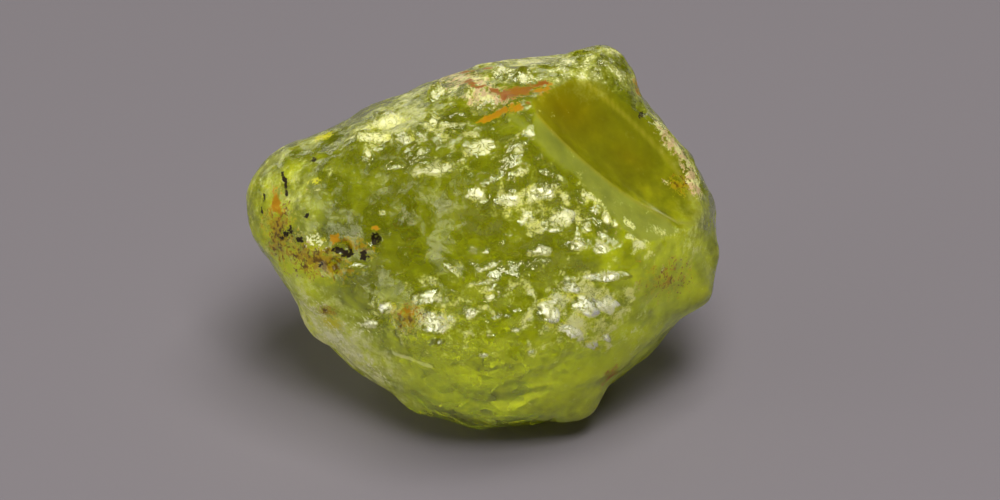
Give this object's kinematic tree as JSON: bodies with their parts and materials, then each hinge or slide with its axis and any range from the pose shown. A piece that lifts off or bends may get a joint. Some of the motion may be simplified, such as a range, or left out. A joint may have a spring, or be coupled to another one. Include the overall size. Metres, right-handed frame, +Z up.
{
  "type": "rough grossular garnet",
  "caption": "Loose piece of rough grossular garnet: a translucent yellow-green stone with chipped, etched faces, a smooth hollow and a flat side to rest on.",
  "frame": {"origin": "centre of the base of the stone's box, on the surface that it rests on", "axes": "+X along the stone's length, towards the end with the hollow and the knob; +Z up from the flat that it rests on; the side seen in the picture faces -Y and up"},
  "size_m": [0.0142, 0.0108, 0.0104],
  "materials": {
    "garnet": "translucent yellow-green garnet, glassy where freshly broken, etched and frosted elsewhere, with rust and soot-dark stains"
  },
  "bodies": {
    "root": {"garnet": "garnet"}
  },
  "joints": []
}
